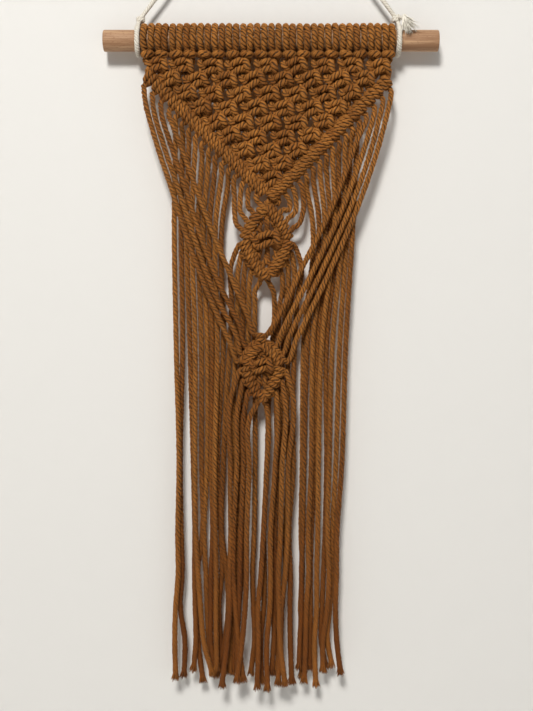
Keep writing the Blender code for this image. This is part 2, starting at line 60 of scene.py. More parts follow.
# Tables are in millimetres from the dowel's centre, and the frame is in metres from its hanging point
mm = 0.001
hangDrop = 140.0
brownCord = {
    "radius": 2.15,
    "knotRadius": 2.36,
    "ridgeRadius": 2.4,
    "rimRadius": 2.25,
    "turn": 9.6,  # along the cord, for one full turn of its three plies
    "knotTurn": 7.9,  # pulled tight in a knot
    "valley": 0.6,  # depth of the grooves between plies, as a share of the radius
    "shoulder": 0.92,
    "sides": 12,
    "wornLevels": (-455.0, -340.0),  # between these heights the plies soften
    "wornGroove": 0.4,
    "shadeLevels": (-360.0, -110.0),  # and between these the colour is painted darker going down, a painted shade
    "step": 0.8,  # between rings
    "knotStep": 0.9,
}
# Waves along every cord: how large, how close together, and how strands differ
waves = {
    "twist": ((0.045, 0.61, 9), (0.045, 1.37, 23)),
    "thickness": ((0.03, 0.37, 31), (0.025, 0.93, 57)),
    "dye": ((0.12, 0.043, 41),),
}
# The colour is painted darker in the worn band and towards the bottom: painted shade for the dimmer
# light low on the fringe
dye = {"middle": 0.5, "spread": 0.55, "worn": 0.6, "paintedShade": 0.35}
ridges = {
    "left": {"start": (-93.9, -25.5), "end": (1.2, -120.6), "inward": 1, "untidy": 0.5},
    "right": {"start": (88.6, -29.3), "end": (3.0, -114.9), "inward": -1, "untidy": 0.12},
}
ridge = {"y": -4.0, "edge": 7.45, "first": 5.3, "wide": 8.85, "pitch": 7.1, "crossing": 4,
         "front": -5.2, "size": 3.1, "outward": 0.9, "wideSpread": 2.25, "spread": 1.78,
         "pointFrom": 14, "pointSteps": 3, "pointDepth": {"left": -0.7, "right": 1.3}}
rims = {
    "upper": {"centre": (-3.3, -152.3), "left": 16.4, "right": 16.1, "top": 24.6,
              "bottom": 26.2, "y": -5.6, "radius": 4.0, "knot": (1.26, 1.16, 1.08),
              "size": 2.6, "closing": (-4.2, -178.4), "hitches": 4, "behind": 4.2,
              "fillers": {"left": ((-4.6, 3.4), (-4.3, 0.2), (0.2, 3.6)),
                          "right": ((6.4, 1.0), (5.8, 4.0), (0.5, 0.4))}},
    "lower": {"centre": (-6.9, -247.0), "left": 12.1, "right": 13.3, "top": 15.6,
              "bottom": 23.5, "y": -7.6, "radius": 3.8, "knot": (0.95, 0.92, 0.95),
              "size": 2.4, "closing": (-6.4, -270.8), "hitches": 3, "behind": 2.6,
              "fillers": {"left": ((-4.4, 1.0), (-1.7, -0.4)),
                          "right": ((4.6, 0.6), (1.6, 0.8))}},
}


def inFrame(points):
    return (np.asarray(points, float) - (0.0, 0.0, hangDrop)) * mm


def smoothLine(points):
    # One smooth curve through the points, and how far along it each of them lies
    p = np.array(points, float)
    gap = np.linalg.norm(np.diff(p, axis=0), axis=1)
    slope = np.diff(p, axis=0) / gap[:, None]
    tangent = np.empty_like(p)
    tangent[0], tangent[-1] = slope[0], slope[-1]
    before, after = gap[:-1, None], gap[1:, None]
    tangent[1:-1] = (slope[:-1] * after + slope[1:] * before) / (before + after)
    fine, starts = [], []
    for i, size in enumerate(gap):
        t = np.linspace(0, 1, max(4, int(size * 3)), endpoint=False)[:, None]
        starts.append(sum(map(len, fine)))
        fine.append(
            p[i] * (2 * t**3 - 3 * t**2 + 1)
            + tangent[i] * size * (t**3 - 2 * t**2 + t)
            + p[i + 1] * (3 * t**2 - 2 * t**3)
            + tangent[i + 1] * size * (t**3 - t**2)
        )
    fine = np.vstack(fine + [p[-1:]])
    reach = np.concatenate([[0], np.cumsum(np.linalg.norm(np.diff(fine, axis=0), axis=1))])
    return fine, reach, reach[starts + [-1]]


def carriedSides(tangent, first):
    # A side direction for every ring that turns no more than the line does
    side = np.array(first, float)
    sides = np.empty_like(tangent)
    for k, t in enumerate(tangent):
        side = side - t * side.dot(t)
        side /= np.linalg.norm(side)
        sides[k] = side
    return sides


def unit(v):
    v = np.asarray(v, float)
    return v / np.linalg.norm(v, axis=-1, keepdims=True)


def waved(kind, at, tint):
    return sum(size * np.sin(at * close + tint * shift) for size, close, shift in waves[kind])


def eased(values, reach):
    # Each value is averaged with its neighbours on both sides
    window = 2 * reach + 1
    padded = np.pad(values, reach, mode="edge")
    return np.convolve(padded, np.ones(window) / window, mode="valid")


pieces = {}  # the parts of each joined mesh, by piece name


def layCord(stretches, look, tint=0.5, tail=0.0, first=(0.03, -1.0, 0.02)):
    # Sweeps one whole cord and hands each stretch of it to its own piece
    points = [(*p, 1.0) if len(p) == 3 else tuple(p) for s in stretches for p in s["points"]]
    fine, reach, marks = smoothLine([p[:3] for p in points])
    at, cuts, done = [], [], 0
    for s in stretches:
        a = marks[done]
        done += len(s["points"])
        b = marks[done] if done < len(points) else reach[-1] - tail
        count = max(2, round((b - a) / s["step"]))
        cuts.append(sum(map(len, at)))
        at.append(np.linspace(a, b, count, endpoint=False))
    at = np.concatenate(at + [[b]])
    cuts.append(len(at) - 1)
    centre = np.stack([np.interp(at, reach, fine[:, k]) for k in range(3)], axis=1)
    tangent = unit(np.gradient(centre, axis=0))
    side = carriedSides(tangent, first)
    other = np.cross(tangent, side)
    column = np.arange(look["sides"])
    profile = np.array([look["valley"], look["shoulder"], 1.0, look["shoulder"]])
    profile = np.tile(profile, look["sides"] // 4)
    count = np.diff(cuts)
    count[-1] += 1
    turn = np.repeat([s.get("turn", look["turn"]) for s in stretches], count)
    turn = eased(turn, 6)
    turned = np.concatenate([[0], np.cumsum(np.diff(at) / turn[1:])])
    turned += waved("twist", at, tint)
    angle = 2 * math.pi * (column[None] / look["sides"] - turned[:, None])
    radius = np.repeat([s.get("radius", look["radius"]) for s in stretches], count)
    radius = eased(radius, 3)
    sway = 1 + waved("thickness", at, tint)
    thick = np.interp(at, marks, [p[3] for p in points])
    worn = np.interp(centre[:, 2], look["wornLevels"], (look["wornGroove"], 1.0))
    section = 1 - (1 - profile[None]) * worn[:, None]
    size = (radius * sway * thick)[:, None, None] * section[..., None]
    rings = centre[:, None] + size * (
        side[:, None] * np.cos(angle)[..., None] + other[:, None] * np.sin(angle)[..., None]
    )
    # groove is 0 in the valleys between plies and 1 on their crests; the cotton finish paints shade
    # in the valleys by it
    groove = 1 - worn[:, None] * (1 - (profile - look["valley"]) / (1 - look["valley"]))
    dyedAndShaded = dye["middle"] + dye["spread"] * (tint - 0.5) + waved("dye", at, tint)
    # Painted shade: darker in the worn band and going down the fringe
    dyedAndShaded -= dye["worn"] * (1 - worn)
    dyedAndShaded += np.interp(centre[:, 2], look["shadeLevels"], (-dye["paintedShade"], 0.0))
    for k, s in enumerate(stretches):
        a, b = cuts[k], cuts[k + 1] + 1
        pieces.setdefault(s["piece"], []).append(
            {"rings": rings[a:b], "reach": at[a:b], "groove": groove[a:b],
             "tint": np.repeat(dyedAndShaded[a:b], look["sides"])}
        )
    end = [np.interp(reach[-1], reach, fine[:, k]) for k in range(3)]
    last = cuts[-2]
    return np.vstack([centre[last:], [end]]) if tail else centre[last:], tangent[-1]


brush = {"turn": 2.4, "turnSway": 0.3, "lean": 0.6, "leanBack": 0.4, "widest": 1.25,
         "longest": 1.08, "rooted": 0.95, "flare": 1.6, "taper": (0.9, 1.0, 0.95, 0.8, 0.25),
         "strip": (0.02, 0.08),  # of the cotton pattern's width, because a yarn is so thin
         "dye": (-0.15, 0.2)}


def frayEnd(piece, end, heading, draw, tint, look):
    # A brush of loose yarns at a cut end
    side = unit(np.cross(heading, (0.2, 1.0, 0.1)))
    other = np.cross(heading, side)
    lean = side * draw.uniform(-brush["lean"], brush["lean"])
    lean = lean + other * draw.uniform(-brush["leanBack"], brush["leanBack"])
    for yarn in range(look["yarns"]):
        turn = brush["turn"] * yarn + draw.uniform(-brush["turnSway"], brush["turnSway"])
        share = math.sqrt((yarn + 0.5) / look["yarns"])
        out = side * math.cos(turn) + other * math.sin(turn)
        spread = draw.uniform(look["uneven"] - 0.1, brush["widest"]) * look["spread"] * share
        long = draw.uniform(look["uneven"], brush["longest"]) * look["length"]
        bend = (draw.random() - 0.5) * look["curl"]
        t = np.linspace(0, 1, 5)[:, None]
        line = (end - heading * (look["length"] * brush["rooted"]) + out * share * look["root"]
                + heading * t * long + (out * spread + lean) * t**brush["flare"]
                + np.cross(heading, out) * bend * t**2)
        width = look["width"] * np.array(brush["taper"])
        angle = np.arange(4) * math.pi / 2 + turn
        rings = line[:, None] + width[:, None, None] * (
            side * np.cos(angle)[:, None] + other * np.sin(angle)[:, None]
        )
        pieces[piece].append({"rings": rings, "reach": t[:, 0] * long,
                              "groove": np.full((5, 4), draw.uniform(*look["groove"])),
                              "across": brush["strip"],
                              "tint": tint + draw.uniform(*brush["dye"])})


def buildPiece(name, material, nodes):
    verts, faces, uvs, groove, tint = [], [], [], [], []
    caps, capUvs, base = [], [], 0
    for part in pieces.pop(name):
        rings = part["rings"]
        count, sides = rings.shape[:2]
        verts.append(rings.reshape(-1, 3))
        index = base + np.arange(count * sides).reshape(count, sides)
        nextColumn = np.roll(index, -1, axis=1)
        faces.append(np.stack([index[:-1], nextColumn[:-1], nextColumn[1:], index[1:]],
                              axis=-1).reshape(-1, 4))
        low, high = part.get("across", (0.0, 1.0))
        u = low + (high - low) * np.arange(sides) / sides
        v = part["reach"] / 10
        u0, v0 = np.meshgrid(u, v[:-1])
        u1, v1 = np.meshgrid(u + (high - low) / sides, v[1:])
        uvs.append(np.stack([u0, v0, u1, v0, u1, v1, u0, v1], axis=-1).reshape(-1, 2))
        caps += [index[0][::-1].tolist(), index[-1].tolist()]
        capUvs.append(np.full((2 * sides, 2), (0.5, v[0])))
        groove.append(part["groove"].ravel())
        tint.append(np.broadcast_to(part["tint"], count * sides))
        base += count * sides
    mesh = bpy.data.meshes.new(name)
    mesh.from_pydata(inFrame(np.vstack(verts)).tolist(), [], np.vstack(faces).tolist() + caps)
    mesh.uv_layers.new(name="along")
    mesh.uv_layers["along"].uv.foreach_set("vector", np.vstack(uvs + capUvs).ravel())
    for key, values in (("groove", groove), ("tint", tint)):
        layer = mesh.attributes.new(key, "FLOAT", "POINT")
        layer.data.foreach_set("value", np.concatenate(values).astype(np.float32))
    mesh.shade_smooth()
    mesh.materials.append(material)
    piece = bpy.data.objects.new(name, mesh)
    bpy.context.scene.collection.objects.link(piece)
    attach(piece, "root")
    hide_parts(*nodes)
    return piece


def startGroup(name, inputs, outputs):
    group = bpy.data.node_groups.new(name, "ShaderNodeTree")
    for label, kind, value in inputs:
        socket = group.interface.new_socket(label, in_out="INPUT", socket_type=kind)
        socket.default_value = value
    for label, kind in outputs:
        group.interface.new_socket(label, in_out="OUTPUT", socket_type=kind)
    given = group.nodes.new("NodeGroupInput")
    result = group.nodes.new("NodeGroupOutput")
    return group, given, result


def addNode(tree, kind, inputs=(), **settings):
    node = tree.nodes.new(kind)
    for key, value in settings.items():
        setattr(node, key, value)
    for key, value in dict(inputs).items():
        if isinstance(value, bpy.types.NodeSocket):
            tree.links.new(value, node.inputs[key])
        else:
            node.inputs[key].default_value = value
    return node


def remap(tree, value, given, wanted=(0.0, 1.0), **settings):
    node = addNode(tree, "ShaderNodeMapRange", {
        "Value": value, "From Min": given[0], "From Max": given[1],
        "To Min": wanted[0], "To Max": wanted[1]}, **settings)
    return node.outputs["Result"]


def sums(tree, operation, *values, **settings):
    node = addNode(tree, "ShaderNodeMath", dict(enumerate(values)), operation=operation, **settings)
    return node.outputs[0]


def makeCottonGroup():
    group, given, result = startGroup(
        "twistedCotton",
        [("Light", "NodeSocketColor", (0.3, 0.12, 0.03, 1)),
         ("Deep", "NodeSocketColor", (0.2, 0.08, 0.02, 1)),
         ("Dark", "NodeSocketColor", (0.08, 0.03, 0.01, 1)),
         ("Groove Shade", "NodeSocketFloat", 0.7),
         ("Fibre Bump", "NodeSocketFloat", 0.5)],
        [("Color", "NodeSocketColor"), ("Roughness", "NodeSocketFloat"),
         ("Normal", "NodeSocketVector")],
    )
    add = partial(addNode, group)
    uv = add("ShaderNodeUVMap", uv_map="along")
    place = add("ShaderNodeTexCoord").outputs["Object"]
    groove = add("ShaderNodeAttribute", attribute_name="groove").outputs["Fac"]
    tint = add("ShaderNodeAttribute", attribute_name="tint").outputs["Fac"]
    apart = add("ShaderNodeSeparateXYZ", {"Vector": uv.outputs["UV"]})
    folded = sums(group, "PINGPONG", apart.outputs["X"], 0.5)
    wrap = add("ShaderNodeCombineXYZ", {"X": folded, "Y": apart.outputs["Y"]})
    stretched = add("ShaderNodeMapping", {"Vector": wrap.outputs[0], "Scale": (38, 4, 1)})
    fibres = add("ShaderNodeTexNoise", {"Vector": stretched.outputs["Vector"], "Scale": 1.0,
                                        "Detail": 3.0, "Roughness": 0.65}).outputs["Fac"]
    lint = add("ShaderNodeTexNoise", {"Vector": place, "Scale": 2600.0, "Detail": 2.0,
                                      "Roughness": 0.6}).outputs["Fac"]
    patches = add("ShaderNodeTexNoise", {"Vector": place, "Scale": 70.0,
                                         "Detail": 2.0}).outputs["Fac"]
    coarse = add("ShaderNodeMapping", {"Vector": wrap.outputs[0], "Scale": (21, 1.1, 1)})
    yarns = add("ShaderNodeTexNoise", {"Vector": coarse.outputs["Vector"], "Scale": 1.0,
                                       "Detail": 2.0}).outputs["Fac"]
    # Each ply shows the line between its own two yarns, as painted shade and as a bump
    wander = sums(group, "MULTIPLY_ADD", yarns, 0.07, apart.outputs["X"])
    across = sums(group, "PINGPONG", wander, 1 / 12)
    split = remap(group, across, (0.0, 0.045), (0.6, 1.0), interpolation_type="SMOOTHSTEP")
    # Painted shade in the valleys between plies, led by the groove attribute
    paintedShade = remap(group, groove, (0.0, 0.85), interpolation_type="SMOOTHSTEP")
    shaded = sums(group, "MULTIPLY", paintedShade, given.outputs["Groove Shade"])
    unshaded = sums(group, "SUBTRACT", 1.0, given.outputs["Groove Shade"])
    lit = sums(group, "ADD", shaded, unshaded)
    streak = remap(group, fibres, (0.3, 0.7), (0.78, 1.08))
    worn = remap(group, patches, (0.3, 0.7), (0.88, 1.08))
    # tint holds each cord's dye and the painted shade low on the fringe; low tint darkens the colour
    # and pulls it towards Deep
    each = remap(group, tint, (-0.8, 1.0), (0.45, 1.1))
    dyedAndShaded = add("ShaderNodeMix", {"Factor": remap(group, tint, (-0.4, 0.5))}, data_type="RGBA")
    group.links.new(given.outputs["Deep"], dyedAndShaded.inputs[6])
    group.links.new(given.outputs["Light"], dyedAndShaded.inputs[7])
    strands = remap(group, yarns, (0.36, 0.64), (0.86, 1.1))
    banded = sums(group, "MULTIPLY", lit, sums(group, "MULTIPLY", strands, split))
    streaked = sums(group, "MULTIPLY", banded, streak)
    mottled = sums(group, "MULTIPLY", worn, each)
    level = sums(group, "MULTIPLY", streaked, mottled)
    colour = add("ShaderNodeMix", {"Factor": level}, data_type="RGBA")
    group.links.new(given.outputs["Dark"], colour.inputs[6])
    group.links.new(dyedAndShaded.outputs[2], colour.inputs[7])
    height = sums(group, "MULTIPLY_ADD", split, 2.4, sums(group, "ADD", fibres, lint))
    bump = add("ShaderNodeBump", {"Height": height, "Distance": 0.0004,
                                  "Strength": given.outputs["Fibre Bump"]})
    rough = remap(group, fibres, (0.3, 0.7), (0.6, 0.9))
    group.links.new(colour.outputs[2], result.inputs["Color"])
    group.links.new(rough, result.inputs["Roughness"])
    group.links.new(bump.outputs["Normal"], result.inputs["Normal"])
    return group


cottonGroup = makeCottonGroup()


def makeCotton(name, look):
    material = bpy.data.materials.new(name)
    material.use_nodes = True
    tree = material.node_tree
    shader = tree.nodes["Principled BSDF"]
    cotton = addNode(tree, "ShaderNodeGroup")
    cotton.node_tree = cottonGroup
    for key, value in look["cotton"].items():
        cotton.inputs[key].default_value = value
    tree.links.new(cotton.outputs["Color"], shader.inputs["Base Color"])
    tree.links.new(cotton.outputs["Roughness"], shader.inputs["Roughness"])
    tree.links.new(cotton.outputs["Normal"], shader.inputs["Normal"])
    shader.inputs["Specular IOR Level"].default_value = 0.3
    shader.inputs["Sheen Weight"].default_value = look["sheen"]
    shader.inputs["Sheen Roughness"].default_value = 0.45
    shader.inputs["Sheen Tint"].default_value = look["sheenTint"]
    return material


brownCotton = makeCotton("tobaccoCotton", {
    "cotton": {"Light": (0.452, 0.181, 0.032, 1), "Deep": (0.325, 0.093, 0.005, 1),
               "Dark": (0.01, 0.0025, 0.0005, 1), "Groove Shade": 0.92, "Fibre Bump": 0.7},
    "sheen": 0.07,
    "sheenTint": (1.0, 0.72, 0.42, 1),
})
creamCotton = makeCotton("creamCotton", {
    "cotton": {"Light": (0.83, 0.795, 0.71, 1), "Deep": (0.77, 0.73, 0.64, 1),
               "Dark": (0.42, 0.37, 0.29, 1),
               "Groove Shade": 0.6, "Fibre Bump": 0.45},
    "sheen": 0.2,
    "sheenTint": (1, 0.97, 0.9, 1),
})
print("cotton finishes made")


camera = {"place": (-0.0034, -0.8, -0.379), "lens": 53.33, "sensor": 36.0}
eye = bpy.data.objects.new("camera", bpy.data.cameras.new("camera"))
eye.data.lens = camera["lens"]
eye.data.sensor_width = camera["sensor"]
eye.location = camera["place"]
eye.rotation_euler = (math.pi / 2, 0, 0)
bpy.context.scene.collection.objects.link(eye)
bpy.context.scene.camera = eye


# The heading is a row of reversed lark's heads
heading = {"left": -98.4, "right": 93.9, "knots": 18, "wrap": 10.5, "apart": 2.67,
           "wrapThick": 1.23, "barThick": 1.36}


def larksHead(strand, draw):
    pitch = (heading["right"] - heading["left"]) / heading["knots"]
    x = heading["left"] + (strand // 2 + 0.5) * pitch
    sign = 1 if strand % 2 else -1
    wrapX = x + sign * heading["apart"]
    tilt = random.Random(strand // 2).uniform(-0.7, 0.7) * sign
    bar, wrap = heading["barThick"], heading["wrapThick"]
    points = [(x, -9.5, -12.5, bar), (x + sign * 1.3, -9.4, -12.5 + tilt * 0.6, bar),
              (x + sign * 2.3, -7.2, -12.2 + tilt * 0.8, bar),
              (x + sign * 3.3, -2.6, -11.0, 1.1)]
    sway = draw.uniform(-0.4, 0.4)
    reachOut = heading["wrap"] + draw.uniform(-0.2, 0.2)
    for degrees in (262, 225, 180, 135, 90, 45, 5, -28):
        angle = math.radians(degrees)
        points.append((wrapX + sway * math.cos(angle) + sign * 0.6 * max(0, degrees - 200) / 62,
                       -reachOut * math.cos(angle), reachOut * math.sin(angle), wrap))
    points += [(x + sign * 2.3, -6.9, -8.3, 1.08), (x + sign * 1.9, -4.9, -11.0)]
    return points


# The panel is a net of alternating square knots
panel = {"rows": 9, "x": -3.0, "z": -21.4, "pitch": 21.2, "rowPitch": 10.7,
         "lean": -3.0 / 85.6, "jitter": 0.6, "edgeScale": 0.88, "edgePush": (1.8, 1.5),
         "tilt": 0.15, "sizes": (0.94, 1.08), "seeds": 31}
# Each cord's way through a knot: x, y and z from the knot's middle, and how thick it looks there
knotWays = {
    "L": ((-6.8, -3.4, 3.8, 1.0), (-8.6, -5.8, 3.3, 0.92), (-8.5, -7.0, 0.9, 0.88),
          (-6.5, -6.4, -0.7, 0.88), (-4.2, -3.0, -0.2, 0.9), (-1.4, 0.9, 1.4, 1.0),
          (2.6, 1.2, 2.4, 1.0), (4.6, -1.2, 3.8, 1.04), (5.2, -5.0, 4.7, 1.1),
          (5.4, -8.2, 3.3, 1.18), (6.1, -9.3, 0.3, 1.22), (7.0, -7.8, -2.8, 1.16),
          (7.2, -4.2, -4.2, 1.06), (5.2, -0.6, -3.4, 1.0), (2.6, 1.2, -2.3, 1.0),
          (-2.0, 0.9, -2.3, 1.0), (-4.6, -1.2, -2.4, 0.95), (-6.8, -4.4, -2.2, 0.95),
          (-7.6, -5.6, -3.3, 0.95), (-6.8, -3.4, -3.8, 1.0)),
    "F": ((-3.8, -3.4, 6.9, 1.0), (-2.3, -3.1, 4.3, 1.0), (-2.1, -2.9, 0.0, 1.0),
          (-2.3, -3.1, -4.3, 1.0), (-3.8, -3.4, -6.9, 1.0)),
    "R": ((6.8, -3.4, 3.8, 1.0), (4.2, -5.4, 4.2, 1.02), (1.4, -8.0, 4.3, 1.12),
          (-1.7, -8.7, 3.1, 1.18), (-4.3, -6.6, 1.9, 1.06), (-5.8, -3.8, 1.0, 0.95),
          (-6.6, -3.2, -1.6, 0.92), (-5.5, -5.0, -4.4, 0.98), (-2.6, -7.8, -3.9, 1.08),
          (1.0, -8.6, -2.0, 1.16), (3.8, -6.6, -1.5, 1.04), (6.8, -3.4, -3.8, 1.0)),
}


def knotWay(role):
    way = np.array(knotWays[role[0]])
    return way * (-1, 1, 1, 1) if role == "F2" else way


def leaned(point):
    x, y, z = point
    return (x + panel["lean"] * (z - panel["z"]), y, z)


def panelKnot(row, column, role):
    count = panel["rows"] - row
    x = panel["x"] + (column - (count - 1) / 2) * panel["pitch"]
    z = panel["z"] - row * panel["rowPitch"]
    draw = random.Random(row * panel["seeds"] + column)
    shift = np.array([draw.uniform(-1, 1), draw.uniform(-0.6, 0.6), draw.uniform(-1, 1)])
    shift *= panel["jitter"]
    angle = draw.uniform(-panel["tilt"], panel["tilt"])
    scale = draw.uniform(*panel["sizes"])
    edge = (column == 0) - (column == count - 1) * (row > 0)
    inner = []
    way = knotWay(role)
    pushX, pushZ = panel["edgePush"]
    for px, py, pz, thick in way:
        spot = np.array([px * math.cos(angle) - pz * math.sin(angle), py,
                         px * math.sin(angle) + pz * math.cos(angle)])
        spot[[0, 2]] *= scale
        if edge:  # pressed inward by the ridge beside it
            spot = spot * (panel["edgeScale"], 1, panel["edgeScale"]) + (pushX * edge, 0, pushZ)
        inner.append((*leaned(spot + shift + (x, 0, z)), thick))
    for k in (0, -1):
        inner[k] = (*leaned(way[k, :3] + (x, 0, z)), way[k, 3])
    return inner


def ridgeFrame(side):
    (x0, z0), (x1, z1) = ridges[side]["start"], ridges[side]["end"]
    along = unit((x1 - x0, z1 - z0))
    inward = np.array((-along[1], along[0])) * ridges[side]["inward"]
    return np.array((x0, z0)), along, inward


def hitchReach(number):
    wide = min(number, ridge["crossing"]) - 1
    return ridge["first"] + wide * ridge["wide"] + (number - 1 - wide) * ridge["pitch"]


# One double half hitch: along the core, towards the side it comes from, towards the front
hitchTurns = ((-1, 1.45, -0.5), (-1, 0.1, -1), (-1, -1.05, -0.1), (-1, -0.62, 0.86),
              (-0.97, 0.62, 0.9), (-0.78, 1.05, -0.1), (0, 0, -1), (0.8, -1.05, -0.1),
              (0.95, -0.62, 0.9), (1, 0.62, 0.86), (1, 1.05, -0.1), (0.3, 0, -1.15),
              (0, -1.6, -0.7))


def hitch(origin, along, entry, y, spread, size, draw, untidy=0.2):
    turned = draw.uniform(-0.3, 0.3) * untidy
    points = []
    for u, v, w in hitchTurns:
        u = u * spread + draw.uniform(-0.5, 0.5) * untidy + v * size * turned
        v = v * size * (1 + draw.uniform(-0.08, 0.12) * untidy)
        w = w * size * (1 + draw.uniform(-0.05, 0.22) * untidy)
        x, z = origin + along * u + entry * v
        points.append((x, y - w, z))
    return points


def ridgeHitch(side, number, draw):
    start, along, inward = ridgeFrame(side)
    origin = start + along * hitchReach(number) - inward * ridge["outward"]
    spread = ridge["wideSpread"] if number <= ridge["crossing"] else ridge["spread"]
    # The right ridge passes in front of the left one at the point of the V
    nearPoint = max(0, number - ridge["pointFrom"]) / ridge["pointSteps"]
    front = ridge["front"] - ridge["pointDepth"][side] * nearPoint
    return hitch(origin, along, inward, front, spread, ridge["size"], draw,
                 ridges[side]["untidy"])


def ridgeExit(side, number):
    start, along, inward = ridgeFrame(side)
    x, z = start + along * hitchReach(number) - inward * ridge["edge"]
    return (x, ridge["y"], z)


rimBow = 1.5  # 1 makes the rim an oval, 2 gives it straight sides


def rimSpot(name, degrees, offset=0.0):
    facts = rims[name]

    def onRim(angle):
        c, s = math.cos(angle), math.sin(angle)
        width = facts["right"] if c > 0 else facts["left"]
        height = facts["top"] if s > 0 else facts["bottom"]
        return np.array((facts["centre"][0] + math.copysign(width * abs(c) ** rimBow, c),
                         facts["centre"][1] + math.copysign(height * abs(s) ** rimBow, s)))

    angle = math.radians(degrees)
    along = unit(onRim(angle + 0.02) - onRim(angle - 0.02))
    outward = np.array((along[1], -along[0]))
    return onRim(angle) + outward * offset, along, outward


def rimEnd(name, degrees, clearance):
    facts = rims[name]
    (x, z), _, _ = rimSpot(name, degrees, facts["radius"] + 0.3 + clearance)
    return (x, facts["y"] + facts["behind"], z)


def rimSlot(name, left, upper, share):
    # The place on the rim at a share of the way down from its top or from its corner
    corner = 180 if left else 0
    start, stop = (90, corner) if upper else (corner, 270 if left else -90)
    degrees = np.linspace(start, stop, 60)
    spots = np.array([rimSpot(name, d)[0] for d in degrees])
    reach = np.concatenate([[0], np.cumsum(np.linalg.norm(np.diff(spots, axis=0), axis=1))])
    spot, along, outward = rimSpot(name, float(np.interp(share * reach[-1], reach, degrees)))
    return spot, along if left else -along, outward, reach[-1]


def rimShare(name, upper, index):
    count = rims[name]["hitches"]
    return (count - index - 0.5) / (count + 0.1) if upper else (index + 0.5) / (count + 0.25)


def rimHitch(name, left, upper, index, draw):
    facts = rims[name]
    spot, along, outward, long = rimSlot(name, left, upper, rimShare(name, upper, index))
    spread = long / (facts["hitches"] + 0.2) / 4
    return hitch(spot, along, outward if upper else -outward, facts["y"], spread, facts["size"],
                 draw, 0.14)


def rimApproach(name, left, index):
    # Where a cord from above goes in behind the rim
    spot, _, outward, _ = rimSlot(name, left, True, rimShare(name, True, index))
    x, z = spot + outward * 4.6
    return (x, rims[name]["y"] + 2.6, z + 3.4)


def closingHitch(name, draw):
    # The left core's last knot, round the right core, at the foot of the rim
    facts = rims[name]
    return hitch(np.array(facts["closing"]), unit((0.1, -1)), unit((1, 0.2)), facts["y"] - 0.7,
                 1.75, facts["size"] * 0.82, draw, 0.25)


def diamondWay(name, left, index, draw):
    # From the upper rim's hitch through the knot inside to the lower rim's hitch
    facts = rims[name]
    (cx, cz), (wide, tall, thick) = facts["centre"], facts["knot"]
    points = rimHitch(name, left, True, index, draw)
    if index == 0:
        way = knotWay("L" if left else "R") * (wide, 1, tall, thick)
    else:
        column, layer = facts["fillers"]["left" if left else "right"][index - 1]
        way = np.array([(column * 1.25, -2.4 + layer / 2, 7.8 * tall, 0.92),
                        (column, -2.2 + layer, 4.2, 0.88), (column, -2.0 + layer, 0, 0.88),
                        (column, -2.2 + layer, -4.2, 0.88),
                        (column * 1.25, -2.4 + layer / 2, -7.8 * tall, 0.92)])
    points += [tuple(p + (cx, facts["y"] + 3.4, cz, 0)) for p in way]
    return points + rimHitch(name, left, False, index, draw)


def coreWay(name, start, stop):
    way = []
    for degrees in np.linspace(start, stop, 9):
        x, z = rimSpot(name, degrees)[0]
        way.append((x, rims[name]["y"], z))
    return way


# The crossing and linking cords pass through these x and z
crossing = {
    "y": -8.8, "leavingY": -7.2, "leavingDrop": 6.0,
    "left": (
        ((-94.8, -46.0), (-88.6, -71.0), (-74.4, -115.0), (-64.3, -147.0), (-47.4, -192.3),
         (-30.6, -229.8)),
        ((-88.6, -52.0), (-81.0, -80.0), (-69.4, -115.0), (-58.2, -149.4), (-40.9, -196.0),
         (-25.6, -225.3)),
        ((-82.2, -58.0), (-76.2, -78.0), (-64.0, -115.0), (-52.2, -151.7), (-38.2, -187.0),
         (-24.0, -215.7)),
        ((-74.8, -64.0), (-67.4, -83.0), (-55.9, -115.0), (-42.8, -149.4), (-30.6, -178.5),
         (-17.8, -208.6)),
    ),
    "right": (
        ((88.6, -51.0), (79.8, -85.0), (69.8, -115.0), (43.9, -176.2), (19.1, -226.8)),
        ((82.0, -58.0), (75.0, -85.0), (64.8, -115.0), (37.8, -176.2), (13.2, -225.8)),
        ((75.8, -64.0), (69.2, -86.0), (59.3, -115.0), (31.2, -176.2), (7.5, -222.8)),
        ((68.4, -69.0), (61.0, -87.0), (51.1, -115.0), (21.8, -176.2), (1.6, -216.6)),
    ),
    "rimLeft": (168, 150, 130, 112),
    "rimRight": (12, 32, 52, 72),
}
links = {
    "left": (((-27.6, -119.5), (-27.4, -131.7), (-25.7, -140.5)),
             ((-23.2, -120.5), (-22.8, -131.0)), ((-17.4, -121.5), (-17.0, -127.0)),
             ((-10.0, -122.6),)),
    "right": (((24.6, -122.4), (23.9, -132.0), (20.6, -140.2)),
              ((18.9, -122.8), (18.2, -130.5)), ((14.2, -124.0), (14.0, -128.6)),
              ((4.8, -124.4),)),
}
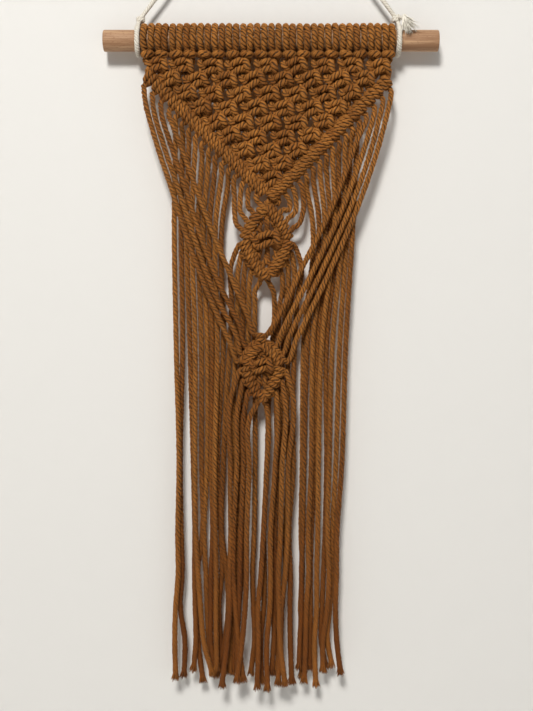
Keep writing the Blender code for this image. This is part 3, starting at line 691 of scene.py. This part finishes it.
# x at each level, then the tip's x and z and the lane
fringe = {
    "levels": (-130.0, -230.0, -325.0, -378.0, -404.0, -430.0, -455.0),
    "turnDrop": 9.0, "turnShare": 0.2,
    "left": (
        (-73.1, -71.7, -69.6, -70.5, -70.2, -72.1, -72.7, -71.9, -484.5, -3.6),
        (-68.3, -67.2, -68.9, -68.0, -67.4, -68.9, -65.5, -66.2, -484.0, 1.0),
        (-64.0, -61.5, -58.8, -57.7, -57.9, -57.4, -56.9, -58.8, -478.8, -1.6),
        (-59.7, -57.3, -57.4, -56.6, -55.0, -53.2, -50.8, -43.7, -481.2, -4.4),
        (-55.2, -53.0, -52.8, -52.5, -56.0, -57.1, -55.6, -51.5, -487.8, 1.6),
        (-51.0, -48.6, -48.7, -50.9, -49.6, -48.7, -47.3, -43.6, -482.6, 2.2),
        (-46.0, -44.5, -45.2, -44.4, -45.4, -45.6, -45.8, -42.0, -480.2, 0.0),
        (-41.0, -40.5, -42.5, -42.0, -41.4, -41.6, -41.4, -40.8, -479.0, -3.2),
        (-36.2, -36.3, -40.6, -38.0, -37.3, -39.6, -38.6, -36.5, -481.5, 2.4),
    ),
    "right": (
        (62.6, 56.6, 53.4, 49.8, 49.6, 48.8, 49.8, 52.9, -480.7, -3.0),
        (58.8, 52.3, 49.2, 46.7, 46.3, 44.8, 42.9, 46.7, -476.0, 0.8),
        (55.2, 46.6, 43.9, 42.9, 43.9, 42.7, 39.3, 39.3, -478.8, -3.2),
        (51.8, 42.4, 42.2, 41.0, 39.9, 38.9, 38.2, 42.0, -477.4, 1.2),
        (48.4, 38.5, 35.8, 35.3, 34.6, 34.6, 33.0, 33.9, -489.7, -3.2),
        (44.8, 35.5, 33.4, 30.6, 29.9, 30.1, 29.8, 29.2, -478.8, 1.6),
        (40.4, 31.7, 30.4, 28.2, 28.5, 26.8, 26.3, 25.1, -486.9, -2.8),
        (35.8, 27.5, 24.9, 23.9, 23.2, 23.2, 22.0, 21.3, -477.8, -0.6),
        (30.8, 24.9, 23.8, 23.0, 23.9, 22.5, 23.6, 23.5, -485.4, 3.0),
    ),
}
# Place on the rim in degrees, the knee, x at each level, the tip's x and z and the lane
middleFringe = {
    "levels": (-200.0, -230.0, -273.0, -325.0, -378.0, -404.0, -430.0, -455.0),
    "left": (
        (189, -29.4, -166.0, -30.0, -31.2, -34.0, -36.3, -37.0, -33.6, -32.5, -34.9,
         -41.8, -484.0, 1.6),
        (204, -24.8, -173.5, -25.4, -26.6, -28.5, -27.6, -26.2, -27.0, -29.6, -31.0,
         -31.3, -481.6, 2.0),
        (219, -20.6, -179.5, -21.0, -22.0, -23.7, -23.7, -23.5, -23.5, -27.0, -28.6,
         -28.1, -482.1, 2.8),
        (235, -16.4, -184.5, -16.8, -17.4, -19.6, -20.5, -22.0, -21.8, -24.6, -26.4,
         -33.0, -481.0, 3.0),
        ((-8.0, -2.0, -182.4), -12.0, -188.5, -12.2, -12.6, -12.1, -12.1, -12.9, -14.0, -13.3,
         -12.5, -15.7, -482.6, 1.8),
    ),
    "right": (
        (351, 22.2, -165.5, 19.6, 18.0, 16.6, 16.8, 13.6, 14.6, 14.4, 14.6, 15.9, -488.3, -1.0),
        (336, 17.8, -172.5, 15.2, 13.6, 12.4, 13.0, 11.2, 10.8, 8.4, 7.3, 3.5, -482.6, 2.6),
        (321, 13.4, -179.0, 11.2, 9.6, 7.6, 7.3, 7.3, 6.1, 5.0, 5.4, 5.6, -482.0, 2.8),
        (304, 9.0, -184.5, 6.8, 5.2, 4.2, 4.5, 3.1, 3.1, 2.3, 2.3, 0.2, -482.0, 0.6),
        ((-1.4, -2.4, -184.0), 2.0, -190.0, 2.7, 1.0, -1.6, -3.1, -5.5, -5.0, -5.5, -7.8,
         -6.8, -489.7, 2.2),
    ),
}
frontFringe = {
    "levels": (-325.0, -378.0, -404.0, -430.0, -455.0),
    "left": (
        (192, -27.8, -261.0, -30.6, -30.4, -31.1, -31.1, -33.0, -37.3, -489.2, -7.0),
        (212, -23.6, -269.0, -25.9, -28.4, -28.5, -26.7, -24.3, -20.7, -485.4, -6.0),
        (233, -19.2, -276.0, -20.7, -22.9, -23.5, -24.3, -25.6, -24.8, -484.0, -4.6),
        ((-10.2, -5.2, -274.8), -14.6, -281.0, -16.3, -18.3, -18.3, -19.5, -21.8, -26.1, -484.5,
         -9.6),
    ),
    "right": (
        (348, 14.4, -260.0, 13.0, 12.4, 10.8, 7.6, 7.3, 5.0, -488.0, -6.4),
        (328, 10.0, -268.5, 8.3, 7.0, 5.7, 6.1, 6.9, 10.7, -487.8, -8.4),
        (308, 4.6, -275.5, 2.9, -0.5, -0.3, -0.9, -3.1, -2.6, -492.0, -7.0),
        ((-4.0, -5.4, -276.0), -2.6, -282.0, -3.4, -6.0, -7.6, -9.8, -9.5, -10.4, -491.0, -6.0),
    ),
}
frayed = {"yarns": 38, "root": 1.6, "spread": 1.9, "length": 7.8, "curl": 1.6, "width": 0.4,
          "groove": (0.35, 1.0), "uneven": 0.78}


def fringeWay(side, index):
    row = fringe[side][index]
    x, y, z = ridgeExit(side, index + 5)
    lane = row[-1]
    share = fringe["turnShare"]
    points = [(x, y, z), (x * (1 - share) + row[0] * share, y * share + lane * (1 - share),
                          z - fringe["turnDrop"])]
    points += [(px, lane, level) for px, level in zip(row[:-3], fringe["levels"])]
    return points + [(row[-3], lane, row[-2])]


def rimFringeWay(name, table, side, index):
    row = table[side][index]
    start = row[0] if isinstance(row[0], tuple) else rimEnd(name, row[0], -0.2)
    tipX, tipZ, lane = row[-3:]
    points = [start, (row[1], (start[1] + lane) / 2, row[2] - 1.2)]
    points += [(px, lane, level) for px, level in zip(row[3:-3], table["levels"])]
    return points + [(tipX, lane, tipZ)]


def stretch(piece, points, step=brownCord["knotStep"], radius=brownCord["knotRadius"],
            turn=brownCord["knotTurn"]):
    return {"piece": piece, "points": points, "step": step, "radius": radius, "turn": turn}


strandCount = 36
freeCords = []  # each fringe cord with its node and its middle line


def layStrand(strand):
    # One cord of the hanging, from its lark's head to its tip
    draw = random.Random(700 + strand)
    left = strand < strandCount // 2
    side = "left" if left else "right"
    big = side.capitalize()
    number = min(strand, strandCount - 1 - strand)
    turn = 1 if left else -1
    lastRow = number // 2
    head = larksHead(strand, draw)
    stretches = [stretch("headingCords", head, radius=brownCord["radius"])]
    knots = []
    for row in range(lastRow + 1):
        place = strand - 2 * row
        way = panelKnot(row, place // 4, ("L", "F1", "F2", "R")[place % 4])
        knots += way if not knots else way[1:]
    if left:
        knots = knots[:-1]
    stretches.append(stretch("panelKnots", knots))
    border = "ridge" + big
    rimRadius, ridgeRadius = brownCord["rimRadius"], brownCord["ridgeRadius"]
    plain = {key: brownCord[key] for key in ("step", "radius", "turn")}
    if number > 0:
        stretches.append(stretch(border, ridgeHitch(side, number, draw), radius=ridgeRadius))
    if number == 0:
        start, along, _ = ridgeFrame(side)
        long = np.linalg.norm(np.array(ridges[side]["end"]) - ridges[side]["start"])
        spots = [start + along * reach for reach in np.linspace(1.0, long, 12)]
        stretches.append(stretch(border, [(x, ridge["y"], z) for x, z in spots]))
        rim = [(-3.3 - turn * 1.0, -4.5, -125.0)]
        rim += coreWay("upper", 90 + turn * 12, 90 + turn * 150)
        rim += closingHitch("upper", draw) if left else [(-4.5, -4.8, -175.5), (-3.4, -4.2, -180.6)]
        stretches.append(stretch("upperDiamondKnots", rim, radius=rimRadius))
        tip = rimFringeWay("upper", middleFringe, side, 4)
        name, nodes = f"middleFringe{big}_5", "middle_fringe_" + side
    elif number <= 4:
        x, y, z = ridgeExit(side, number)
        way = [(x, y, z), (x, crossing["leavingY"], z - crossing["leavingDrop"])]
        way += [(px, crossing["y"], pz) for px, pz in crossing[side][number - 1]]
        end = rimEnd("lower", crossing["rim" + big][number - 1], brownCord["radius"] * 0.7)
        stretches.append(stretch("crossing" + big, way, **plain))
        if number < 4:
            inner = [end] + diamondWay("lower", left, number - 1, draw)
        else:
            if left:
                inner = hitch(np.array((-7.6, -225.6)), unit((0.1, -1)), unit((-1, 0.2)), -7.4,
                              1.7, 2.3, draw)[:-1]
            else:
                inner = [(-3.4, -7.6, -223.8), (-7.4, -7.4, -227.4)]
            inner += coreWay("lower", 90 + turn * 14, 90 + turn * 150)
            inner += closingHitch("lower", draw) if left else [(-6.6, -7.6, -268.5),
                                                               (-5.6, -7.0, -273.2)]
        stretches.append(stretch("lowerDiamondKnots", inner, radius=rimRadius))
        tip = rimFringeWay("lower", frontFringe, side, number - 1)
        name, nodes = f"frontFringe{big}_{number}", "front_fringe_" + side
    elif number <= 13:
        tip = fringeWay(side, number - 5)
        name, nodes = f"fringe{big}_{number - 4}", "fringe_" + side
    else:
        index = number - 14
        way = [ridgeExit(side, number)] + [(px, ridge["y"], pz) for px, pz in links[side][index]]
        stretches.append(stretch("links" + big, way, **plain))
        inner = [rimApproach("upper", left, index)] + diamondWay("upper", left, index, draw)
        stretches.append(stretch("upperDiamondKnots", inner, radius=rimRadius))
        tip = rimFringeWay("upper", middleFringe, side, index)
        name, nodes = f"middleFringe{big}_{index + 1}", "middle_fringe_" + side
    stretches.append(stretch(name, tip, **plain))
    tint = draw.random()
    line, heads = layCord(stretches, brownCord, tint=tint, tail=4.0, first=(0.0, -1.0, 0.0))
    # The brush's tint takes the same painted shade as the bottom of the cord
    frayEnd(name, line[-1], heads, draw, dye["spread"] * tint - dye["paintedShade"], frayed)
    freeCords.append((name, nodes, line))


for strand in range(strandCount):
    layStrand(strand)
print("cords laid")

for name, nodes, line in freeCords:
    piece = buildPiece(name, brownCotton, [nodes])
for name, node in (("headingCords", "heading"), ("panelKnots", "knotted_panel"),
                   ("ridgeLeft", "border_left"), ("ridgeRight", "border_right"),
                   ("crossingLeft", "crossing_left"), ("crossingRight", "crossing_right"),
                   ("linksLeft", "links_left"), ("linksRight", "links_right"),
                   ("upperDiamondKnots", "upper_diamond"),
                   ("lowerDiamondKnots", "lower_diamond")):
    buildPiece(name, brownCotton, [node])
print("knots and fringe built")


creamCord = {"radius": 1.75, "knotRadius": 1.6, "tailRadius": 1.5, "turn": 6.4,
             "valley": 0.72, "shoulder": 0.95, "sides": 12, "step": 0.7,
             "wornLevels": (-400.0, -200.0), "wornGroove": 0.5, "shadeLevels": (-400.0, -200.0)}
hanger = {"bend": 8.0, "peak": 133.8, "legPoints": 12, "bendPoints": 9,
          "thick": 1.28,  # of the turn round the dowel, as a share of the cord
          "coil": {"radius": 2.0, "steps": 14, "start": 1.2, "foot": 1.9, "rise": 3.6},
          "loop": 10.4, "opening": 60, "neck": (2.4, 13.4),
          "neckShare": 0.3, "knotHeight": 16.4, "footRise": 0.8, "wraps": 2.3,
          "left": {"x": -100.7, "knot": -98.9}, "right": {"x": 96.5, "knot": 94.9},
          "tail": ((95.6, -1.5, 16.4), (97.4, -4.0, 16.5), (99.6, -6.8, 14.6, 0.95),
                   (102.6, -9.2, 10.2, 0.6), (105.2, -10.6, 4.6, 0.3))}
tailFray = {"yarns": 110, "root": 1.5, "spread": 5.6, "length": 14.5, "curl": 4.0, "width": 0.4,
            "groove": (0.85, 1.0), "uneven": 0.55}


def hangerWay():
    # Up from the left tie, round the bend at the peak, and down to the right tie
    peak, bend, count = hanger["peak"], hanger["bend"], hanger["legPoints"]
    legs, angles = [], []
    for side, turn in (("left", -1), ("right", 1)):
        foot = np.array((hanger[side]["knot"], hanger["knotHeight"] + hanger["footRise"]))
        reach = foot - (0, peak)
        angle = math.atan2(reach[1], reach[0]) + turn * math.acos(bend / np.linalg.norm(reach))
        touch = np.array((math.cos(angle), math.sin(angle))) * bend + (0, peak)
        legs.append([foot + (touch - foot) * k / count for k in range(count)])
        angles.append(angle % (2 * math.pi))
    over = [np.array((math.cos(a), math.sin(a))) * bend + (0, peak)
            for a in np.linspace(*angles, hanger["bendPoints"])]
    return [(x, 0.0, z) for x, z in legs[0] + over + legs[1][::-1]]


def tieWay(side):
    # Out of the knot, round the dowel, back up, and round itself to close the knot
    facts = hanger[side]
    x, knot, loop = facts["x"], facts["knot"], hanger["loop"]
    neckX = x + (knot - x) * hanger["neckShare"]
    neckY, neckZ = hanger["neck"]
    middle = hanger["knotHeight"]
    points = [(knot, 1.2, middle - 0.5), (neckX, neckY, neckZ)]
    for degrees in range(hanger["opening"], -181 - hanger["opening"], -30):
        angle = math.radians(degrees)
        points.append((x, loop * math.cos(angle), loop * math.sin(angle),
                       hanger["thick"]))
    points.append((neckX, -neckY, neckZ - 0.4))
    coil = hanger["coil"]
    for k in range(coil["steps"] + 1):
        share = k / coil["steps"]
        angle = 2 * math.pi * hanger["wraps"] * share - coil["start"]
        points.append((knot + coil["radius"] * math.cos(angle),
                       -coil["radius"] * math.sin(angle) - 0.3,
                       middle - coil["foot"] + coil["rise"] * share + 0.5 * math.cos(angle)))
    return points + [(knot, 0.0, middle + 0.6)]


def creamStretch(piece, points, radius):
    return {"piece": piece, "points": points, "step": creamCord["step"], "radius": radius}


line, _ = layCord([creamStretch("hangerCord", hangerWay(), creamCord["radius"])], creamCord,
                  tint=0.5)
for side in ("left", "right"):
    tie = "tie" + side.capitalize()
    layCord([creamStretch(tie, tieWay(side), creamCord["knotRadius"])], creamCord, tint=0.55)
    buildPiece(tie, creamCotton, ["hanger_tie_" + side])
end, heads = layCord([creamStretch("tieTail", hanger["tail"], creamCord["tailRadius"])], creamCord,
                     tint=0.6, tail=1.0)
frayEnd("tieTail", end[-1], heads, random.Random(77), 0.9, tailFray)
buildPiece("tieTail", creamCotton, ["hanger_tail"])
hangerCord = buildPiece("hangerCord", creamCotton, ["hanger_cord"])
print("hanger tied")


dowel = {"length": 254.0, "radius": 8.0, "edge": 0.7, "sides": 96, "rings": 72}


def buildDowel():
    half, radius, edge = dowel["length"] / 2, dowel["radius"], dowel["edge"]
    caps = [(0.0, 0.0), (0.0, 0.35 * radius), (0.0, 0.7 * radius), (0.0, radius - edge),
            (0.2 * edge, radius - 0.45 * edge), (0.55 * edge, radius - 0.14 * edge)]
    profile = [(-half + d, r) for d, r in caps]
    profile += [(x, radius) for x in np.linspace(-half + edge, half - edge, dowel["rings"])]
    profile += [(half - d, r) for d, r in reversed(caps)]
    angles = np.linspace(0, 2 * math.pi, dowel["sides"], endpoint=False)
    verts, loops = [], []
    for x, r in profile:
        if r == 0:
            loops.append([len(verts)])
            verts.append((x, 0.0, 0.0))
            continue
        loops.append(list(range(len(verts), len(verts) + dowel["sides"])))
        # Turned and sanded by hand, so never quite round or straight
        uneven = 1 + 0.004 * np.sin(2 * angles + 0.02 * x) + 0.003 * np.sin(3 * angles - 0.05 * x)
        for angle, share in zip(angles, uneven):
            verts.append((x, r * share * math.cos(angle), r * share * math.sin(angle)))
    faces = []
    for one, two in zip(loops[:-1], loops[1:]):
        for k in range(dowel["sides"]):
            n = (k + 1) % dowel["sides"]
            if len(one) == 1:
                faces.append((one[0], two[n], two[k]))
            elif len(two) == 1:
                faces.append((one[k], one[n], two[0]))
            else:
                faces.append((one[k], one[n], two[n], two[k]))
    mesh = bpy.data.meshes.new("dowelRod")
    mesh.from_pydata(inFrame(verts).tolist(), [], faces)
    mesh.shade_smooth()
    mesh.materials.append(beech)
    rod = bpy.data.objects.new("dowelRod", mesh)
    bpy.context.scene.collection.objects.link(rod)
    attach(rod, "root")
    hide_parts("dowel")


def makeBeechGroup():
    group, given, result = startGroup(
        "beechGrain",
        [("Pale", "NodeSocketColor", (0.5, 0.3, 0.17, 1)),
         ("Dark", "NodeSocketColor", (0.3, 0.16, 0.08, 1)),
         ("Fleck Strength", "NodeSocketFloat", 0.5), ("Grain Bump", "NodeSocketFloat", 0.3)],
        [("Color", "NodeSocketColor"), ("Roughness", "NodeSocketFloat"),
         ("Normal", "NodeSocketVector")],
    )
    add = partial(addNode, group)
    place = add("ShaderNodeTexCoord").outputs["Object"]

    def grain(scale, detail):
        along = add("ShaderNodeMapping", {"Vector": place, "Scale": scale})
        return add("ShaderNodeTexNoise", {"Vector": along.outputs["Vector"], "Scale": 1.0,
                                          "Detail": detail, "Roughness": 0.6}).outputs["Fac"]

    bands = grain((7, 260, 190), 3)
    pores = grain((60, 1500, 1500), 2)
    flecks = grain((420, 900, 900), 1)
    broad = remap(group, bands, (0.32, 0.68))
    fine = remap(group, pores, (0.35, 0.7), (0.0, 0.55))
    spots = remap(group, flecks, (0.6, 0.72))
    darkened = sums(group, "ADD", broad, fine, use_clamp=True)
    fleck = sums(group, "MULTIPLY", spots, given.outputs["Fleck Strength"])
    both = sums(group, "ADD", darkened, fleck, use_clamp=True)
    colour = add("ShaderNodeMix", data_type="RGBA")
    group.links.new(both, colour.inputs[0])
    group.links.new(given.outputs["Pale"], colour.inputs[6])
    group.links.new(given.outputs["Dark"], colour.inputs[7])
    rough = remap(group, pores, (0.3, 0.7), (0.5, 0.68))
    bump = add("ShaderNodeBump", {"Height": both, "Distance": 0.00025,
                                  "Strength": given.outputs["Grain Bump"]}, invert=True)
    group.links.new(colour.outputs[2], result.inputs["Color"])
    group.links.new(rough, result.inputs["Roughness"])
    group.links.new(bump.outputs["Normal"], result.inputs["Normal"])
    return group


beech = bpy.data.materials.new("sandedBeech")
beech.use_nodes = True
grainNode = addNode(beech.node_tree, "ShaderNodeGroup")
grainNode.node_tree = makeBeechGroup()
for key, value in {"Pale": (0.57, 0.375, 0.225, 1), "Dark": (0.3, 0.165, 0.088, 1),
                   "Fleck Strength": 0.45, "Grain Bump": 0.35}.items():
    grainNode.inputs[key].default_value = value
beechShader = beech.node_tree.nodes["Principled BSDF"]
for output, socket in (("Color", "Base Color"), ("Roughness", "Roughness"), ("Normal", "Normal")):
    beech.node_tree.links.new(grainNode.outputs[output], beechShader.inputs[socket])
beechShader.inputs["Specular IOR Level"].default_value = 0.3
buildDowel()
print("dowel turned")


stage = {"colour": (0.7, 0.692, 0.67, 1), "roughness": 0.95, "y": 0.0127, "low": -0.75,
         "high": 0.3, "wide": 0.8, "floor": 3}


def palePaint(name):
    paint = bpy.data.materials.new(name)
    paint.use_nodes = True
    shader = paint.node_tree.nodes["Principled BSDF"]
    shader.inputs["Base Color"].default_value = stage["colour"]
    shader.inputs["Roughness"].default_value = stage["roughness"]
    return paint, paint.node_tree, shader


def makeStage():
    pale = palePaint("paleStage")[0]
    card, tree, shader = palePaint("paleBackdrop")
    clear = addNode(tree, "ShaderNodeBsdfTransparent")
    # Clear from behind, and to the light that reaches the back of the hanging
    behind = addNode(tree, "ShaderNodeNewGeometry").outputs["Backfacing"]
    shadowRay = addNode(tree, "ShaderNodeLightPath").outputs["Is Shadow Ray"]
    seeThrough = addNode(tree, "ShaderNodeMath", {0: behind, 1: shadowRay}, operation="MAXIMUM")
    mix = addNode(tree, "ShaderNodeMixShader", {0: seeThrough.outputs[0]})
    tree.links.new(shader.outputs[0], mix.inputs[1])
    tree.links.new(clear.outputs[0], mix.inputs[2])
    tree.links.new(mix.outputs[0], tree.nodes["Material Output"].inputs["Surface"])
    backdrop = bpy.data.meshes.new("backdrop")
    y, low, high, wide = (stage[key] for key in ("y", "low", "high", "wide"))
    backdrop.from_pydata([(-wide, y, low), (wide, y, low), (wide, y, high), (-wide, y, high)],
                         [], [(0, 1, 2, 3)])
    backdrop.materials.append(card)
    floor = bpy.data.meshes.new("floor")
    half = stage["floor"]
    floor.from_pydata([(-half, -half, low), (half, -half, low), (half, half, low),
                       (-half, half, low)], [], [(0, 1, 2, 3)])
    floor.materials.append(pale)
    for mesh in (backdrop, floor):
        plane = bpy.data.objects.new(mesh.name, mesh)
        bpy.context.scene.collection.objects.link(plane)


def addLight(name, place, target, size, power, colour):
    data = bpy.data.lights.new(name, "AREA")
    data.shape = "DISK"
    data.size = size
    data.energy = power
    data.color = colour
    light = bpy.data.objects.new(name, data)
    light.location = place
    light.rotation_euler = (Vector(target) - Vector(place)).to_track_quat("-Z", "Y").to_euler()
    bpy.context.scene.collection.objects.link(light)


# Place, target, size, power and colour
lights = {
    "keyLight": ((-0.28, -1.75, 0.84), (0, 0, -0.25), 0.5, 43.0, (1.0, 0.98, 0.95)),
    "fillLight": ((0.9, -1.6, -0.6), (0, 0, -0.35), 1.2, 1.0, (0.95, 0.97, 1.0)),
    "backLight": ((0.0, 1.9, -0.2), (0, 0, -0.3), 0.4, 16.0, (1.0, 0.98, 0.95)),
}
air = {"colour": (0.97, 0.96, 0.96, 1), "strength": 0.22, "gamma": 0.93}
makeStage()
for name, facts in lights.items():
    addLight(name, *facts)
world = bpy.data.worlds.new("softWorld")
world.use_nodes = True
world.node_tree.nodes["Background"].inputs["Color"].default_value = air["colour"]
world.node_tree.nodes["Background"].inputs["Strength"].default_value = air["strength"]
bpy.context.scene.world = world
bpy.context.scene.view_settings.view_transform = "Standard"
bpy.context.scene.view_settings.gamma = air["gamma"]

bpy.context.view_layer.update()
triangles = sum(len(p.vertices) - 2 for o in bpy.context.scene.objects
                if o.type == "MESH" and "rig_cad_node" not in o for p in o.data.polygons)
print("triangles added:", triangles)
